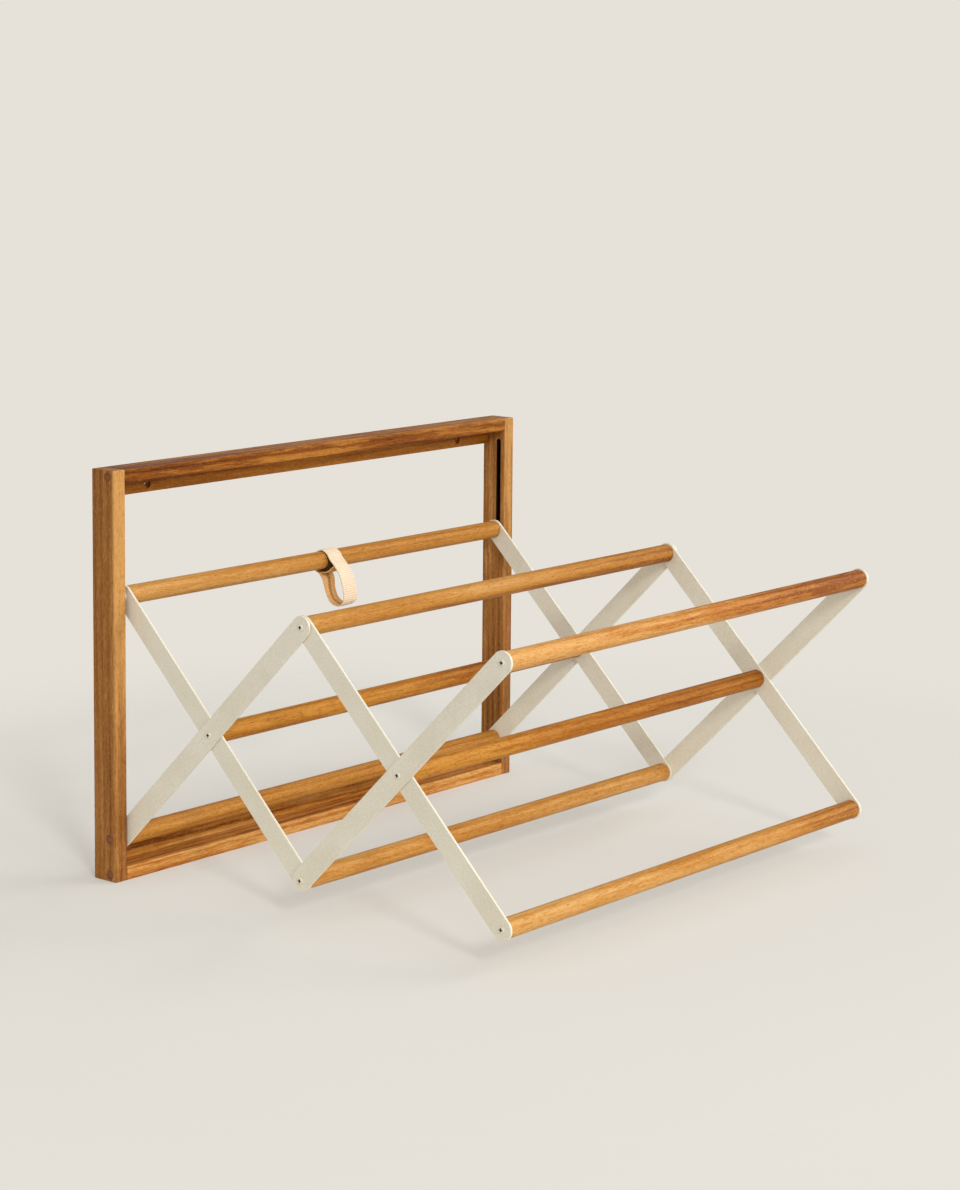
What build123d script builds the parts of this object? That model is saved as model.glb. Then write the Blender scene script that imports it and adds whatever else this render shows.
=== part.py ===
from build123d import *
import os
from math import asin, cos, degrees, radians, sin

# Wall-mounted fold-down drying rack, open. Millimetres, +Z up.
# The origin is midway between the two wall-screw holes, on the wall plane. X runs along the rods and the
# rack unfolds towards -Y. A pair of scissor linkages carries the rods: "rear" arms reach the frame,
# "front" arms carry the outer rods. On each side the outer arms slope up and forward from their lower
# end, and the inner arms slope down and forward from their upper end.

# ---- frame boards ----
frame_width = 600.0
frame_height = 400.0
frame_depth = 30.0
stile_thickness = 15.0
top_rail_thickness = 13.5
bottom_rail_thickness = 13.0
cleat_height = 15.5
cleat_thickness = 6.0
board_rounding = 1.0
wall_hole_inset = 52.5        # from the stile's inner face to the hole's axis
wall_hole_diameter = 4.5
wall_hole_sink_diameter = 8.0
wall_hole_sink_depth = 3.0

# ---- rods and scissor arms ----
rod_diameter = 18.5
rod_end_rounding = 0.8
arm_width = 21.0
arm_thickness = 2.5
arm_edge_rounding = 0.4
pivot_setback = 8.5           # from the frame's front face back to the pivot line
open_angle = 45.0             # of the arms from the vertical, open
arm_to_cleat_gap = 2.5        # above the bottom cleat, at the fixed pivot
arm_to_rail_gap = 1.5         # below the top rail, folded
fold_gap = 0.6                # between neighbouring arms, folded
arm_to_stile_gap = 1.5
arm_to_arm_gap = 0.5
rod_to_arm_gap = 0.3

# ---- pivots, slider and fasteners ----
shoulder_diameter = 4.0
running_clearance = 0.05      # radial, at each pivot that turns
open_pivot_clearance = 0.10   # radial, at the pivot that closes the linkage
thread_diameter = 3.6
pilot_diameter = 3.4
rod_thread_length = 18.0
head_diameter = 6.0
head_height = 1.1
recess_length = 3.6
recess_width = 1.3
recess_depth = 0.7
slot_side_clearance = 0.1
slot_end_clearance = 0.2
slot_depth = 8.0
slider_diameter = 5.8         # of the pin's head, which runs in the slot
slider_engagement = 6.0       # of the head in the slot
bush_diameter = 9.0
washer_diameter = 12.0
washer_clearance = 0.1
plug_diameter = 9.0
plug_thickness = 4.0
plug_clearance = 0.05
board_screw_head_diameter = 7.4
board_screw_head_height = 3.0
board_screw_clearance = 0.1
rail_thread_length = 28.0

# ---- strap ----
strap_width = 20.0
strap_thickness = 1.8
strap_offset = 7.5            # of its middle from the middle of the rod
strap_rod_gap = 0.2
tie_thickness = 2.4           # of the folded webbing that ties the loop under the rod

# ---- derived places ----
rail_length = frame_width - 2 * stile_thickness
stile_inner = rail_length / 2
frame_top = top_rail_thickness + cleat_height / 2
frame_bottom = frame_top - frame_height
top_rail_low = frame_top - top_rail_thickness
bottom_rail_high = frame_bottom + bottom_rail_thickness
rail_screw_heights = (frame_top - top_rail_thickness / 2, frame_bottom + bottom_rail_thickness / 2)

pivot_y = pivot_setback - frame_depth
pivot_low = bottom_rail_high + cleat_height + arm_to_cleat_gap + arm_width / 2
arm_length = top_rail_low - arm_to_rail_gap - arm_width / 2 - pivot_low
reach = arm_length * sin(radians(open_angle))
rise = arm_length * cos(radians(open_angle))
folded_pitch = max(arm_width, rod_diameter) + fold_gap
folded_angle = degrees(asin(folded_pitch / arm_length))
folded_rise = arm_length * cos(radians(folded_angle))

# Pivots as (Y, Z): the upper and lower ones stand above one another, with the crossings between.
rear_bottom = (pivot_y, pivot_low)
rear_top = (pivot_y, pivot_low + rise)
rear_crossing = (pivot_y - reach / 2, pivot_low + rise / 2)
middle_bottom = (pivot_y - reach, pivot_low)
middle_top = (pivot_y - reach, pivot_low + rise)
front_crossing = (pivot_y - 1.5 * reach, pivot_low + rise / 2)
front_bottom = (pivot_y - 2 * reach, pivot_low)
front_top = (pivot_y - 2 * reach, pivot_low + rise)

# Layers on the right, from the stile inwards; the left is their mirror image.
outer_arm_out = stile_inner - arm_to_stile_gap
outer_arm_in = outer_arm_out - arm_thickness
inner_arm_out = outer_arm_in - arm_to_arm_gap
inner_arm_in = inner_arm_out - arm_thickness
SIDES = {"left": -1, "right": 1}

shoulder_hole = shoulder_diameter + 2 * running_clearance
open_shoulder_hole = shoulder_diameter + 2 * open_pivot_clearance
board_hole = shoulder_diameter + 2 * board_screw_clearance
slot_width = slider_diameter + 2 * slot_side_clearance
slot_high = pivot_low + folded_rise + slot_end_clearance + slider_diameter / 2
slot_low = rear_top[1] - slot_end_clearance - slider_diameter / 2
bush_face = stile_inner - rod_to_arm_gap
sink_depth = plug_thickness + board_screw_head_height
sink_floor = frame_width / 2 - sink_depth
pilot_depth = rod_thread_length + 2


def save(part, name):
    """Labels one finished sub-part and writes its STEP file."""
    part.label = name
    export_step(part, f"parts/{name}.step")


def bar(start, end, diameter, place, mode=Mode.ADD):
    """Adds or cuts a round bar along X between two X values, centred on a (Y, Z) place."""
    with Locations(((start + end) / 2, *place)):
        Cylinder(diameter / 2, abs(end - start), rotation=(0, 90, 0), mode=mode)


def cross_recess(side, face, place):
    """Cuts a cross-shaped driver recess into a screw head whose outer face is at X = side * face."""
    with Locations((side * (face - recess_depth / 2), *place)):
        Box(recess_depth, recess_length, recess_width, mode=Mode.SUBTRACT)
        Box(recess_depth, recess_width, recess_length, mode=Mode.SUBTRACT)


def long_edges(part, axis):
    """The four edges of a board along its length."""
    return part.edges().filter_by(axis)


# ---- stiles: counterbored for the screws, with the slider's slot in the inner face ----
os.makedirs("parts", exist_ok=True)
for side_name, side in SIDES.items():
    with BuildPart() as stile:
        with BuildSketch(Plane.XY.offset(frame_bottom)):
            with Locations((side * (stile_inner + stile_thickness / 2), -frame_depth / 2)):
                Rectangle(stile_thickness, frame_depth)
        extrude(amount=frame_height)
        fillet(stile.edges(), board_rounding)
        for height in (*rail_screw_heights, pivot_low):
            place = (pivot_y, height)
            bar(side * stile_inner, side * frame_width / 2, board_hole, place, Mode.SUBTRACT)
            bar(side * sink_floor, side * frame_width / 2, plug_diameter, place, Mode.SUBTRACT)
        with BuildSketch(Plane.YZ.offset(side * stile_inner)):
            with Locations((pivot_y, (slot_low + slot_high) / 2)):
                SlotOverall(slot_high - slot_low, slot_width, rotation=90)
        extrude(amount=side * slot_depth, mode=Mode.SUBTRACT)
    save(stile.part, f"{side_name}_stile")

# ---- rails between the stiles, bored for the screws in their end grain ----
for rail_name, low, thickness in (
    ("top_rail", top_rail_low, top_rail_thickness),
    ("bottom_rail", frame_bottom, bottom_rail_thickness),
):
    with BuildPart() as rail:
        with BuildSketch(Plane.XY.offset(low)):
            with Locations((0, -frame_depth / 2)):
                Rectangle(rail_length, frame_depth)
        extrude(amount=thickness)
        fillet(long_edges(rail, Axis.X), board_rounding)
        for side in SIDES.values():
            place = (pivot_y, low + thickness / 2)
            pilot_end = stile_inner - rail_thread_length
            bar(side * pilot_end, side * stile_inner, pilot_diameter, place, Mode.SUBTRACT)
    save(rail.part, rail_name)

# ---- cleats against the wall, the top one with the wall-screw holes at mid-height ----
for cleat_name, low in (("top_cleat", -cleat_height / 2), ("bottom_cleat", bottom_rail_high)):
    with BuildPart() as cleat:
        with BuildSketch(Plane.XY.offset(low)):
            with Locations((0, -cleat_thickness / 2)):
                Rectangle(rail_length, cleat_thickness)
        extrude(amount=cleat_height)
        fillet(long_edges(cleat, Axis.X).group_by(Axis.Y)[0], board_rounding / 2)
        if cleat_name == "top_cleat":
            for side in SIDES.values():
                hole_x = side * (stile_inner - wall_hole_inset)
                with Locations(Plane((hole_x, -cleat_thickness, 0), z_dir=(0, -1, 0))):
                    CounterBoreHole(
                        wall_hole_diameter / 2, wall_hole_sink_diameter / 2, wall_hole_sink_depth, cleat_thickness
                    )
    save(cleat.part, cleat_name)

# ---- frame screws under wood plugs: into the rails' ends, and through to the fixed pivot's rod ----
with BuildPart() as rail_screws:
    for side in SIDES.values():
        for height in rail_screw_heights:
            place = (pivot_y, height)
            head_out = sink_floor + board_screw_head_height
            bar(side * sink_floor, side * head_out, board_screw_head_diameter, place)
            bar(side * stile_inner, side * sink_floor, shoulder_diameter, place)
            bar(side * (stile_inner - rail_thread_length), side * stile_inner, thread_diameter, place)
            cross_recess(side, head_out, place)
save(rail_screws.part, "rail_screws")

with BuildPart() as fixed_pivot_screws:
    for side in SIDES.values():
        rod_end = outer_arm_in - rod_to_arm_gap
        head_out = sink_floor + board_screw_head_height
        bar(side * sink_floor, side * head_out, board_screw_head_diameter, rear_bottom)
        bar(side * rod_end, side * sink_floor, shoulder_diameter, rear_bottom)
        bar(side * (rod_end - rod_thread_length), side * rod_end, thread_diameter, rear_bottom)
        cross_recess(side, head_out, rear_bottom)
save(fixed_pivot_screws.part, "fixed_pivot_screws")

for plug_name, heights in (("rail_plugs", rail_screw_heights), ("fixed_pivot_plugs", (pivot_low,))):
    with BuildPart() as plugs:
        for side in SIDES.values():
            for height in heights:
                plug_start = frame_width / 2 - plug_thickness
                bar(
                    side * plug_start,
                    side * frame_width / 2,
                    plug_diameter - 2 * plug_clearance,
                    (pivot_y, height),
                )
    save(plugs.part, plug_name)

# ---- spacer washers at the fixed pivot, between stile and arm ----
with BuildPart() as fixed_pivot_washers:
    for side in SIDES.values():
        washer_in = side * (outer_arm_out + washer_clearance)
        bar(washer_in, side * stile_inner, washer_diameter, rear_bottom)
        bar(washer_in, side * stile_inner, board_hole, rear_bottom, Mode.SUBTRACT)
save(fixed_pivot_washers.part, "fixed_pivot_washers")


# ---- scissor arms: flat bars with round ends, bored at both ends and at mid-length ----
def scissor_arm(side, face, middle, slope, holes):
    """A flat bar from X = side * face inwards; holes lists (place, diameter)."""
    with BuildPart() as arm:
        with BuildSketch(Plane.YZ.offset(side * face)):
            with Locations(middle):
                SlotCenterToCenter(arm_length, arm_width, rotation=slope)
        extrude(amount=-side * arm_thickness)
        fillet(arm.edges().filter_by(Plane.YZ), arm_edge_rounding)
        for place, diameter in holes:
            bar(side * face, side * (face - arm_thickness), diameter, place, Mode.SUBTRACT)
    return arm.part


# From the horizontal: an outer arm rises towards the front, an inner one falls.
outer_slope = 90 + open_angle
inner_slope = 90 - open_angle
arm_plan = {
    "rear_outer_arm": (
        outer_arm_out,
        rear_crossing,
        outer_slope,
        [(rear_bottom, shoulder_hole), (rear_crossing, shoulder_hole), (middle_top, shoulder_hole)],
    ),
    "rear_inner_arm": (
        inner_arm_out,
        rear_crossing,
        inner_slope,
        [(rear_top, shoulder_hole), (rear_crossing, shoulder_hole), (middle_bottom, open_shoulder_hole)],
    ),
    "front_inner_arm": (
        inner_arm_out,
        front_crossing,
        inner_slope,
        [(middle_top, shoulder_hole), (front_crossing, shoulder_hole), (front_bottom, shoulder_hole)],
    ),
    "front_outer_arm": (
        outer_arm_out,
        front_crossing,
        outer_slope,
        [(middle_bottom, shoulder_hole), (front_crossing, shoulder_hole), (front_top, shoulder_hole)],
    ),
}
for arm_name, (face, middle, slope, holes) in arm_plan.items():
    for side_name, side in SIDES.items():
        save(scissor_arm(side, face, middle, slope, holes), f"{arm_name}_{side_name}")

# ---- rods: each reaches the arm beside it, and a gap is left where that arm turns on the rod's screw ----
fixed_rod_end = outer_arm_in - rod_to_arm_gap
turning_rod_end = inner_arm_in - rod_to_arm_gap
rod_plan = {
    "rear_bottom_rod": (rear_bottom, fixed_rod_end),
    "rear_top_rod": (rear_top, inner_arm_in),
    "rear_crossing_rod": (rear_crossing, turning_rod_end),
    "middle_top_rod": (middle_top, turning_rod_end),
    "middle_bottom_rod": (middle_bottom, turning_rod_end),
    "front_crossing_rod": (front_crossing, turning_rod_end),
    "front_top_rod": (front_top, outer_arm_in),
    "front_bottom_rod": (front_bottom, inner_arm_in),
}
for rod_name, (place, half_length) in rod_plan.items():
    with BuildPart() as rod:
        bar(-half_length, half_length, rod_diameter, place)
        fillet(rod.edges().filter_by(GeomType.CIRCLE), rod_end_rounding)
        for side in SIDES.values():
            pilot_end = half_length - pilot_depth
            bar(side * pilot_end, side * half_length, pilot_diameter, place, Mode.SUBTRACT)
    save(rod.part, rod_name)


# ---- arm screws: a low head on the arm's outer face, a shoulder in the arms, a thread in the rod ----
def arm_screws(face, rod_end, places):
    """A screw of each side at each place, its head seated at X = side * face."""
    with BuildPart() as screws:
        for side in SIDES.values():
            for place in places:
                bar(side * face, side * (face + head_height), head_diameter, place)
                bar(side * rod_end, side * face, shoulder_diameter, place)
                bar(side * (rod_end - rod_thread_length), side * rod_end, thread_diameter, place)
        rims = screws.edges().filter_by(GeomType.CIRCLE).filter_by(
            lambda rim: abs(abs(rim.center().X) - face - head_height) < 0.01
        )
        fillet(rims, head_height / 2)
        for side in SIDES.values():
            for place in places:
                cross_recess(side, face + head_height, place)
    return screws.part


save(arm_screws(outer_arm_out, turning_rod_end, [rear_crossing, middle_top]), "rear_arm_screws")
save(arm_screws(outer_arm_out, turning_rod_end, [middle_bottom, front_crossing]), "front_arm_screws")
save(arm_screws(outer_arm_out, outer_arm_in, [front_top]), "front_top_screws")
save(arm_screws(inner_arm_out, inner_arm_in, [front_bottom]), "front_bottom_screws")

# ---- thin washers that keep crossing arms from rubbing ----
for washers_name, places in (
    ("rear_arm_washers", (rear_crossing, middle_top)),
    ("front_arm_washers", (middle_bottom, front_crossing)),
):
    with BuildPart() as washers:
        for side in SIDES.values():
            for place in places:
                washer_in = side * (inner_arm_out + washer_clearance)
                bar(washer_in, side * outer_arm_in, washer_diameter, place)
                bar(washer_in, side * outer_arm_in, shoulder_hole, place, Mode.SUBTRACT)
    save(washers.part, washers_name)

# ---- slider: a pin through each rear inner arm, whose head runs in the stile's slot; a bush centres it ----
with BuildPart() as slider_pins:
    for side in SIDES.values():
        head_in = bush_face + washer_clearance
        bar(side * inner_arm_in, side * head_in, shoulder_diameter, rear_top)
        bar(side * head_in, side * (stile_inner + slider_engagement), slider_diameter, rear_top)
        bar(side * (inner_arm_in - rod_thread_length), side * inner_arm_in, thread_diameter, rear_top)
save(slider_pins.part, "slider_pins")

with BuildPart() as slider_bushes:
    for side in SIDES.values():
        bar(side * inner_arm_out, side * bush_face, bush_diameter, rear_top)
        bar(side * inner_arm_out, side * bush_face, shoulder_hole, rear_top, Mode.SUBTRACT)
save(slider_bushes.part, "slider_bushes")

# ---- strap: a webbing loop round the rear top rod, tied under it to leave an open pull loop ----
# Each bend is a direction from the rod's axis (degrees from straight up, towards the front) with the
# stand-off of the webbing's middle layer from the rod's surface.
snug = strap_rod_gap + strap_thickness / 2
strap_bends = [
    (0, snug),
    (45, snug + 0.5),
    (82, 3.4),
    (106, 12.0),
    (121, 23.0),
    (134, 34.5),
    (142.5, 41.5),
    (153, 41.3),
    (163, 34.2),
    (168.5, 22.5),
    (173, 11.5),
    (190, 5.1),
    (216, 4.4),
    (250, 2.6),
    (300, snug + 0.3),
]
tie_bends = [(104, 9.8), (115, 6.8), (133, 5.4), (153, 4.4), (174, 3.8), (191, 4.6)]


def strap_point(bend):
    """The (Y, Z) place of one bend round the rear top rod."""
    direction, stand_off = radians(bend[0]), bend[1] + rod_diameter / 2
    return (rear_top[0] - stand_off * sin(direction), rear_top[1] + stand_off * cos(direction))


with BuildPart() as strap_loop:
    with BuildSketch(Plane.YZ.offset(strap_offset - strap_width / 2)):
        with BuildLine() as webbing:
            Spline(*[strap_point(bend) for bend in strap_bends], periodic=True)
        trace(webbing.line, strap_thickness)
        with BuildLine() as tie:
            Spline(*[strap_point(bend) for bend in tie_bends])
        trace(tie.line, tie_thickness)
    extrude(amount=strap_width)
save(strap_loop.part, "strap_loop")
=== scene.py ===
"""The looks of a wall-mounted fold-down drying rack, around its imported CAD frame.

The boards, rods, arms and fasteners are the CAD nodes with new materials. The webbing strap is a new
mesh in place of its plain CAD solid. Lengths are metres in the frame's own axes: X along the rods,
+Y towards the wall, +Z up.
"""

import math

import bpy
import numpy as np
from mathutils import Matrix, Vector


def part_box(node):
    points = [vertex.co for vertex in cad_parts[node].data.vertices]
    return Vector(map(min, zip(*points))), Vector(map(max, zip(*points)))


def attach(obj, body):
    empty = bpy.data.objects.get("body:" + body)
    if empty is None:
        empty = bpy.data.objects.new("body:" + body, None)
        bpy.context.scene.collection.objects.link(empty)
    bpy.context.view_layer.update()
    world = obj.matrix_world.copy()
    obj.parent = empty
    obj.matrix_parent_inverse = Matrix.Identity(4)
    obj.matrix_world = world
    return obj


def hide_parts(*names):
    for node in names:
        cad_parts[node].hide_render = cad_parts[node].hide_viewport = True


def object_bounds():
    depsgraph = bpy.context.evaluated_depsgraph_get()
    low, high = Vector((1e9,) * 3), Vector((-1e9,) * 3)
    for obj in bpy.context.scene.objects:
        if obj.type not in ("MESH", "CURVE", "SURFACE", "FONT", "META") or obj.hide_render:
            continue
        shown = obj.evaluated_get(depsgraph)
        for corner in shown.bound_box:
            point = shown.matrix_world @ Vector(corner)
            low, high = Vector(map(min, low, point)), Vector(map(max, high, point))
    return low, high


MM = 0.001

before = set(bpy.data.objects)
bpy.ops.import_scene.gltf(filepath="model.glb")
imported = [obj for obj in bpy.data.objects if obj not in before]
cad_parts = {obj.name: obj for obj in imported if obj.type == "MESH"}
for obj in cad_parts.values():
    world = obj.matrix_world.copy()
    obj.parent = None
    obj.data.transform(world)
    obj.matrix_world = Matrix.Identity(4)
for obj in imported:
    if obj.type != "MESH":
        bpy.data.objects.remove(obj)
cad_low, cad_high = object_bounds()


def middle_of(node):
    """The middle of a CAD node's box."""
    low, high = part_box(node)
    return (low + high) / 2


# ---------------------------------------------------------------- camera
CAMERA_PLACE = (-2.175, -2.034, 0.398)
CAMERA_HEADING = math.radians(50.34)    # clockwise from +Y, seen from above
CAMERA_TILT = math.radians(7.0)         # downwards
CAMERA_ROLL = math.radians(0.52)
CAMERA_LENS = 87.97                     # mm, on a 36 mm sensor along the tall side
CAMERA_SHIFT = -0.1387


def make_camera():
    """A camera level with the rack's top, looking down a little along the rods from the left."""
    data = bpy.data.cameras.new("camera")
    data.lens = CAMERA_LENS
    data.sensor_width = 36.0
    data.shift_y = CAMERA_SHIFT
    data.clip_start, data.clip_end = 0.05, 100.0
    camera = bpy.data.objects.new("camera", data)
    bpy.context.collection.objects.link(camera)
    camera.matrix_world = (
        Matrix.Translation(CAMERA_PLACE)
        @ Matrix.Rotation(-CAMERA_HEADING, 4, "Z")
        @ Matrix.Rotation(math.pi / 2 - CAMERA_TILT, 4, "X")
        @ Matrix.Rotation(CAMERA_ROLL, 4, "Z")
    )
    bpy.context.scene.camera = camera


# ---------------------------------------------------------------- shader building
class Graph:
    """Short words for building a node tree."""

    def __init__(self, tree):
        self.tree = tree

    def node(self, kind, **settings):
        node = self.tree.nodes.new(kind)
        for name, value in settings.items():
            setattr(node, name, value)
        return node

    def feed(self, socket, value):
        """Links an output to a socket, or sets the socket to a plain value."""
        if isinstance(value, bpy.types.NodeSocket):
            self.tree.links.new(value, socket)
        elif value is not None:
            socket.default_value = value

    def math(self, operation, *values, clamp=False):
        node = self.node("ShaderNodeMath", operation=operation, use_clamp=clamp)
        for socket, value in zip(node.inputs, values):
            self.feed(socket, value)
        return node.outputs[0]

    def vector_math(self, operation, *values):
        node = self.node("ShaderNodeVectorMath", operation=operation)
        for socket, value in zip(node.inputs, values):
            self.feed(socket, value)
        return node.outputs[0]

    def mix(self, share, first, second):
        """A colour, from first to second as share goes from 0 to 1."""
        node = self.node("ShaderNodeMix", data_type="RGBA")
        for name, value in (("Factor_Float", share), ("A_Color", first), ("B_Color", second)):
            self.feed(next(s for s in node.inputs if s.identifier == name), value)
        return next(s for s in node.outputs if s.identifier == "Result_Color")

    def step(self, value, low, high):
        """0 below low, 1 above high, and smooth between."""
        node = self.node("ShaderNodeMapRange", interpolation_type="SMOOTHSTEP")
        for name, number in (("Value", value), ("From Min", low), ("From Max", high)):
            self.feed(node.inputs[name], number)
        return node.outputs[0]

    def noise(self, vector, detail=2.0, distortion=0.0, roughness=0.5):
        """Noise at one cycle per unit of the vector."""
        node = self.node("ShaderNodeTexNoise")
        self.feed(node.inputs["Vector"], vector)
        settings = {"Scale": 1.0, "Detail": detail, "Distortion": distortion, "Roughness": roughness}
        for name, value in settings.items():
            node.inputs[name].default_value = value
        return node.outputs[0]

    def stretched(self, vector, along, across):
        """The vector in cycles: so many per metre along the grain, and so many across it."""
        return self.vector_math("MULTIPLY", vector, (along, across, across))


def make_group(name, inputs, outputs):
    """An empty node group with named sockets, and its graph, inputs and output node."""
    tree = bpy.data.node_groups.new(name, "ShaderNodeTree")
    for label, kind, value in inputs:
        socket = tree.interface.new_socket(label, in_out="INPUT", socket_type="NodeSocket" + kind)
        if value is not None:
            socket.default_value = value
    for label, kind in outputs:
        tree.interface.new_socket(label, in_out="OUTPUT", socket_type="NodeSocket" + kind)
    graph = Graph(tree)
    given = graph.node("NodeGroupInput").outputs
    return tree, graph, given, graph.node("NodeGroupOutput").inputs


def start_material(name):
    """A new material with its graph and its Principled shader."""
    material = bpy.data.materials.new(name)
    material.use_nodes = True
    graph = Graph(material.node_tree)
    return material, graph, material.node_tree.nodes["Principled BSDF"]


def place_group(graph, tree, **values):
    """Puts a group in a material, with its inputs fed by name (underscores for spaces)."""
    node = graph.node("ShaderNodeGroup", node_tree=tree)
    for name, value in values.items():
        graph.feed(node.inputs[name.replace("_", " ")], value)
    return node.outputs


def add_bump(graph, shader, height, distance, strength=1.0):
    """Drives the shader's normal from a height that spans the given distance in metres."""
    bump = graph.node("ShaderNodeBump")
    bump.inputs["Strength"].default_value = strength
    bump.inputs["Distance"].default_value = distance
    graph.feed(bump.inputs["Height"], height)
    graph.feed(shader.inputs["Normal"], bump.outputs["Normal"])


# ---------------------------------------------------------------- oiled wood
RING_AXIS = (0.0, 0.031, 0.026)     # the offset added to a point's place before its distance is taken
RING_PHASE_RATE = 900.0             # radians of ring phase per metre of that distance
RING_WAVER = 11.0                   # radians of ring phase
SEED_SHIFT = (0.731, 0.397, 0.563)  # metres per unit of seed
SEED_PHASE = 2.1                    # radians of ring phase per unit of seed
FIGURE_MIDDLE = 0.98                # of the summed figure, before contrast
EVEN_LEVEL = 0.42                   # where that middle lies between light and dark
OIL_TINT = (1.0, 0.72, 0.42, 1)
WOOD_SPECULAR = 0.2
WOOD_RELIEF = 0.12 * MM
FRONT_LIGHT_BAND = 3.0 * MM          # the band over which painted light makes a board lighter towards its front face
FRONT_LIGHT_FROM = -0.6                    # the share of a stile's half height above which its front is painted lighter, as painted light
# Painted shade, very dark, in the slider's slot deep inside each stile.
SLOT_PAINTED_SHADE = (0.010, 0.006, 0.003, 1)
SLOT_SHADE_DEPTH = 0.25 * MM        # below a stile's side faces
SLOT_SHADE_REACH = 3.5 * MM         # to either side of the slot's line
SLOT_SHADE_END = 2.0 * MM           # short of a stile's ends
PLUG_RIM_START, PLUG_RIM_END = 3.9 * MM, 4.4 * MM
PLUG_RIM_SHARE = 0.8
# Painted shade of the thin gap round each plug.
PLUG_GAP_SHADE = (0.035, 0.014, 0.005, 1)


def make_grain_group():
    """Oiled hardwood. Growth rings about an axis beside the board and bands of slow noise set the tone
    from light to dark; fine fibres and short dark pores run along the grain (the vector's X)."""
    tree, g, given, out = make_group(
        "wood_grain",
        [
            ("Vector", "Vector", None),
            ("Seed", "Float", 0.0),
            ("Light", "Color", (1, 1, 1, 1)),
            ("Middle", "Color", (1, 1, 1, 1)),
            ("Dark", "Color", (1, 1, 1, 1)),
            ("Tone", "Float", 0.0),
            ("Contrast", "Float", 1.0),
        ],
        [("Color", "Color"), ("Roughness", "Float"), ("Height", "Float")],
    )
    shift = g.vector_math("MULTIPLY", SEED_SHIFT, given["Seed"])
    place = g.vector_math("ADD", given["Vector"], shift)

    # The figure: broad wavering bands, narrower streaks, and short flecks that give the surface its bite.
    waver = g.noise(g.stretched(place, 3.0, 18.0), detail=2.0)
    band = g.noise(g.stretched(place, 3.4, 42.0), detail=3.0, distortion=0.7)
    streak = g.noise(g.stretched(place, 11.0, 210.0), detail=3.0, distortion=0.6)
    fleck = g.noise(g.stretched(place, 42.0, 560.0), detail=3.0, roughness=0.6)
    fibre = g.noise(g.stretched(place, 90.0, 2600.0), detail=1.0)

    # Growth rings about an axis beside the board, wavering along it.
    flat = g.vector_math("MULTIPLY", given["Vector"], (0.0, 1.0, 1.0))
    axis = g.vector_math("ADD", flat, RING_AXIS)
    length = g.node("ShaderNodeVectorMath", operation="LENGTH")
    g.feed(length.inputs[0], axis)
    phase = g.math("MULTIPLY", length.outputs["Value"], RING_PHASE_RATE)
    turn = g.math("MULTIPLY_ADD", waver, RING_WAVER, phase)
    turn = g.math("MULTIPLY_ADD", given["Seed"], SEED_PHASE, turn)
    ring = g.math("POWER", g.math("MULTIPLY_ADD", g.math("SINE", turn), 0.5, 0.5), 1.8)

    mixed = g.math("MULTIPLY", ring, 0.12)
    for part, weight in ((band, 0.85), (streak, 0.42), (fleck, 0.60)):
        mixed = g.math("MULTIPLY_ADD", part, weight, mixed)
    # Spread about the sum's middle by the contrast, then shifted by the tone.
    spread = g.math("MULTIPLY", g.math("SUBTRACT", mixed, FIGURE_MIDDLE), given["Contrast"])
    level = g.math("ADD", g.math("ADD", spread, EVEN_LEVEL), given["Tone"])

    color = g.mix(g.step(level, 0.08, 0.55), given["Light"], given["Middle"])
    color = g.mix(g.step(level, 0.5, 1.0), color, given["Dark"])
    vein = g.math("MULTIPLY", g.step(ring, 0.72, 1.0), g.step(g.math("ADD", band, given["Tone"]), 0.50, 0.72))
    vein = g.math("MULTIPLY", vein, g.math("MULTIPLY", given["Contrast"], 0.4), clamp=True)
    color = g.mix(vein, color, given["Dark"])

    crowd = g.noise(g.stretched(place, 12.0, 120.0), detail=1.0)
    pore = g.noise(g.stretched(place, 150.0, 1500.0), detail=0.0)
    pore = g.step(g.math("MULTIPLY_ADD", crowd, 0.16, pore), 0.69, 0.78)
    color = g.mix(g.math("MULTIPLY", pore, 0.34), color, given["Dark"])
    color = g.mix(g.math("MULTIPLY", g.step(fibre, 0.35, 0.75), 0.14), color, given["Dark"])
    grit = g.noise(g.stretched(place, 260.0, 900.0), detail=2.0, roughness=0.7)
    color = g.mix(g.math("MULTIPLY", g.step(grit, 0.52, 0.70), 0.30), color, given["Dark"])
    color = g.mix(g.math("MULTIPLY", g.step(grit, 0.48, 0.30), 0.34), color, given["Light"])

    rough = g.math("MULTIPLY_ADD", streak, 0.12, 0.42)
    rough = g.math("MULTIPLY_ADD", pore, 0.2, rough)
    height = g.math("MULTIPLY_ADD", fibre, 0.35, g.math("MULTIPLY", fleck, 0.3))
    height = g.math("MULTIPLY_ADD", pore, -0.8, height)
    g.feed(out["Color"], color)
    g.feed(out["Roughness"], rough)
    g.feed(out["Height"], height)
    return tree


GOLDEN = ((0.63, 0.345, 0.105, 1), (0.49, 0.205, 0.030, 1), (0.22, 0.055, 0.003, 1))
AMBER = ((0.56, 0.245, 0.032, 1), (0.38, 0.125, 0.008, 1), (0.14, 0.028, 0.001, 1))
ROSY = ((0.68, 0.355, 0.105, 1), (0.50, 0.185, 0.028, 1), (0.22, 0.050, 0.003, 1))
RUSSET = ((0.44, 0.170, 0.022, 1), (0.21, 0.052, 0.002, 1), (0.070, 0.014, 0.001, 1))
CHESTNUT = ((0.60, 0.300, 0.088, 1), (0.33, 0.125, 0.026, 1), (0.13, 0.036, 0.005, 1))
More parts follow.
